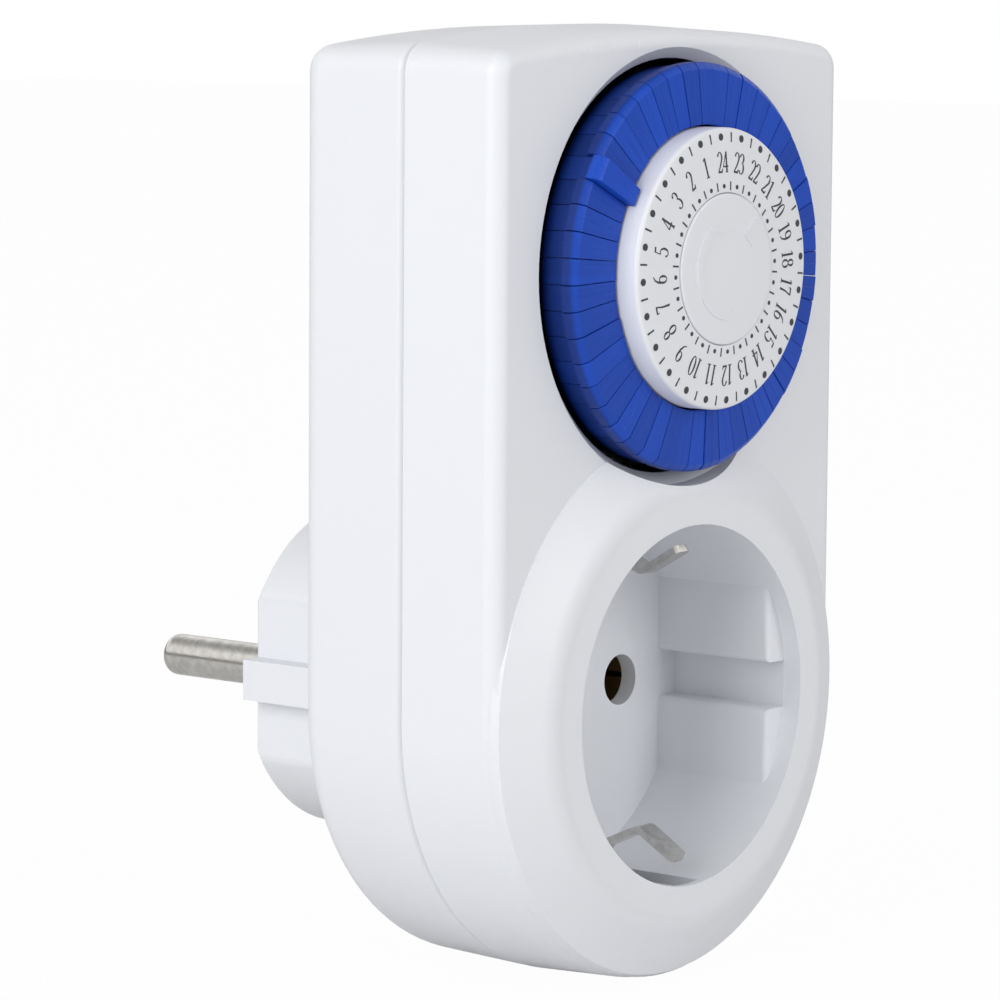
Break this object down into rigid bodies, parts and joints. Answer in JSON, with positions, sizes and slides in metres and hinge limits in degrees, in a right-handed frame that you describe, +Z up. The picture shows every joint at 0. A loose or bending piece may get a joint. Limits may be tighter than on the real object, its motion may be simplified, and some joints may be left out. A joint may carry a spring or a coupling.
{
  "type": "plug-in timer switch",
  "caption": "Plug-in mains timer switch: round-ended white housing with an earthed socket in front, a matching plug behind and a 24 hour dial ringed by sliding blue segments",
  "frame": {"origin": "centre of the plug's end face, midway between the two pins", "axes": "+Z up, the dial and the socket face -Y, the plug points to +Y"},
  "size_m": [0.0641, 0.0733, 0.1055],
  "materials": {
    "white": "satin",
    "blue": "satin",
    "natural": "satin",
    "black": "matte",
    "steel": "satin",
    "nickel": "satin",
    "brass": "satin",
    "copper": "gloss"
  },
  "bodies": {
    "case": {"front_cover": "white", "rear_cover": "white", "case_screws": "steel", "live_pin": "nickel", "neutral_pin": "nickel", "live_socket_contact": "brass", "neutral_socket_contact": "brass", "live_input_bar": "brass", "live_output_bar": "brass", "neutral_bar": "brass", "earth_strap": "nickel", "gear_arbors": "steel", "mechanism_plate": "steel", "plate_screws": "steel", "microswitch_case": "black", "lever_pivot": "steel", "lever_spring": "steel", "motor_can": "steel", "motor_cover": "steel", "motor_bobbin": "natural", "motor_coil": "copper", "stator_poles": "steel", "dial_axle": "white", "axle_clip": "steel"},
    "dial": {"programme_wheel": "white", "dial_disc": "white", "hub_cap": "white"},
    "segments_01": {"segments_01": "blue"},
    "segments_02": {"segments_02": "blue"},
    "segments_03": {"segments_03": "blue"},
    "segments_04": {"segments_04": "blue"},
    "segments_05": {"segments_05": "blue"},
    "segments_06": {"segments_06": "blue"},
    "segments_07": {"segments_07": "blue"},
    "segments_08": {"segments_08": "blue"},
    "segments_09": {"segments_09": "blue"},
    "segments_10": {"segments_10": "blue"},
    "segments_11": {"segments_11": "blue"},
    "segments_12": {"segments_12": "blue"},
    "segments_13": {"segments_13": "blue"},
    "segments_14": {"segments_14": "blue"},
    "segments_15": {"segments_15": "blue"},
    "segments_16": {"segments_16": "blue"},
    "segments_17": {"segments_17": "blue"},
    "segments_18": {"segments_18": "blue"},
    "segments_19": {"segments_19": "blue"},
    "segments_20": {"segments_20": "blue"},
    "segments_21": {"segments_21": "blue"},
    "segments_22": {"segments_22": "blue"},
    "segments_23": {"segments_23": "blue"},
    "segments_24": {"segments_24": "blue"},
    "segments_25": {"segments_25": "blue"},
    "drive_pinion": {"drive_pinion": "natural"},
    "rotor": {"rotor": "steel"},
    "gear_1": {"gear_1": "natural"},
    "gear_2": {"gear_2": "natural"},
    "gear_3": {"gear_3": "natural"},
    "follower_lever": {"follower_lever": "natural"},
    "switch_plunger": {"switch_plunger": "natural"},
    "override_slider": {"override_slider": "blue"}
  },
  "joints": [
    {"name": "dial_turn", "type": "hinge", "parent": "case", "child": "dial", "pos_m": [0, -0.045, 0.04815], "axis": [0, 1, 0], "continuous": true},
    {"name": "segments_01_slide", "type": "slide", "parent": "dial", "child": "segments_01", "axis": [0, 1, 0], "range_m": [-0.002, 0]},
    {"name": "segments_02_slide", "type": "slide", "parent": "dial", "child": "segments_02", "axis": [0, 1, 0], "range_m": [-0.002, 0]},
    {"name": "segments_03_slide", "type": "slide", "parent": "dial", "child": "segments_03", "axis": [0, 1, 0], "range_m": [-0.002, 0]},
    {"name": "segments_04_slide", "type": "slide", "parent": "dial", "child": "segments_04", "axis": [0, 1, 0], "range_m": [-0.002, 0]},
    {"name": "segments_05_slide", "type": "slide", "parent": "dial", "child": "segments_05", "axis": [0, 1, 0], "range_m": [-0.002, 0]},
    {"name": "segments_06_slide", "type": "slide", "parent": "dial", "child": "segments_06", "axis": [0, 1, 0], "range_m": [-0.002, 0]},
    {"name": "segments_07_slide", "type": "slide", "parent": "dial", "child": "segments_07", "axis": [0, 1, 0], "range_m": [-0.002, 0]},
    {"name": "segments_08_slide", "type": "slide", "parent": "dial", "child": "segments_08", "axis": [0, 1, 0], "range_m": [-0.002, 0]},
    {"name": "segments_09_slide", "type": "slide", "parent": "dial", "child": "segments_09", "axis": [0, 1, 0], "range_m": [-0.002, 0]},
    {"name": "segments_10_slide", "type": "slide", "parent": "dial", "child": "segments_10", "axis": [0, 1, 0], "range_m": [-0.002, 0]},
    {"name": "segments_11_slide", "type": "slide", "parent": "dial", "child": "segments_11", "axis": [0, 1, 0], "range_m": [-0.0009, 0.0011]},
    {"name": "segments_12_slide", "type": "slide", "parent": "dial", "child": "segments_12", "axis": [0, 1, 0], "range_m": [-0.002, 0]},
    {"name": "segments_13_slide", "type": "slide", "parent": "dial", "child": "segments_13", "axis": [0, 1, 0], "range_m": [-0.002, 0]},
    {"name": "segments_14_slide", "type": "slide", "parent": "dial", "child": "segments_14", "axis": [0, 1, 0], "range_m": [-0.002, 0]},
    {"name": "segments_15_slide", "type": "slide", "parent": "dial", "child": "segments_15", "axis": [0, 1, 0], "range_m": [-0.002, 0]},
    {"name": "segments_16_slide", "type": "slide", "parent": "dial", "child": "segments_16", "axis": [0, 1, 0], "range_m": [-0.002, 0]},
    {"name": "segments_17_slide", "type": "slide", "parent": "dial", "child": "segments_17", "axis": [0, 1, 0], "range_m": [-0.002, 0]},
    {"name": "segments_18_slide", "type": "slide", "parent": "dial", "child": "segments_18", "axis": [0, 1, 0], "range_m": [-0.002, 0]},
    {"name": "segments_19_slide", "type": "slide", "parent": "dial", "child": "segments_19", "axis": [0, 1, 0], "range_m": [-0.002, 0]},
    {"name": "segments_20_slide", "type": "slide", "parent": "dial", "child": "segments_20", "axis": [0, 1, 0], "range_m": [-0.002, 0]},
    {"name": "segments_21_slide", "type": "slide", "parent": "dial", "child": "segments_21", "axis": [0, 1, 0], "range_m": [-0.002, 0]},
    {"name": "segments_22_slide", "type": "slide", "parent": "dial", "child": "segments_22", "axis": [0, 1, 0], "range_m": [-0.002, 0]},
    {"name": "segments_23_slide", "type": "slide", "parent": "dial", "child": "segments_23", "axis": [0, 1, 0], "range_m": [-0.002, 0]},
    {"name": "segments_24_slide", "type": "slide", "parent": "dial", "child": "segments_24", "axis": [0, 1, 0], "range_m": [-0.002, 0]},
    {"name": "segments_25_slide", "type": "slide", "parent": "dial", "child": "segments_25", "axis": [0, 1, 0], "range_m": [-0.002, 0]},
    {"name": "drive_pinion_turn", "type": "hinge", "parent": "case", "child": "drive_pinion", "pos_m": [0.01191, -0.0365, 0.03208], "axis": [0, 1, 0], "continuous": true},
    {"name": "rotor_turn", "type": "hinge", "parent": "case", "child": "rotor", "pos_m": [-0.0125, -0.0265, 0.0555], "axis": [0, 1, 0], "continuous": true},
    {"name": "gear_1_turn", "type": "hinge", "parent": "case", "child": "gear_1", "pos_m": [-0.00401, -0.0315, 0.04701], "axis": [0, 1, 0], "continuous": true},
    {"name": "gear_2_turn", "type": "hinge", "parent": "case", "child": "gear_2", "pos_m": [0.00054, -0.0305, 0.03591], "axis": [0, 1, 0], "continuous": true},
    {"name": "gear_3_turn", "type": "hinge", "parent": "case", "child": "gear_3", "pos_m": [0.01191, -0.0315, 0.03208], "axis": [0, 1, 0], "continuous": true},
    {"name": "lever_swing", "type": "hinge", "parent": "case", "child": "follower_lever", "pos_m": [0.0214, -0.0356, 0.061], "axis": [1, 0, 0], "range_deg": [0, 10], "stiffness_Nm_per_rad": 0.002, "springref_deg": -17.19},
    {"name": "plunger_slide", "type": "slide", "parent": "case", "child": "switch_plunger", "axis": [0, 1, 0], "range_m": [0, 0.0013]},
    {"name": "override_slide", "type": "slide", "parent": "case", "child": "override_slider", "axis": [0, 0, 1], "range_m": [0, 0.004]}
  ],
  "couplings": [
    {"joint": "drive_pinion_turn", "follows": "dial_turn", "ratio": -5.6667},
    {"joint": "gear_1_turn", "follows": "rotor_turn", "ratio": -0.33333},
    {"joint": "gear_2_turn", "follows": "rotor_turn", "ratio": 0.11111},
    {"joint": "gear_3_turn", "follows": "rotor_turn", "ratio": -0.037037},
    {"joint": "plunger_slide", "follows": "lever_swing", "m_per_rad": 0.0072}
  ]
}
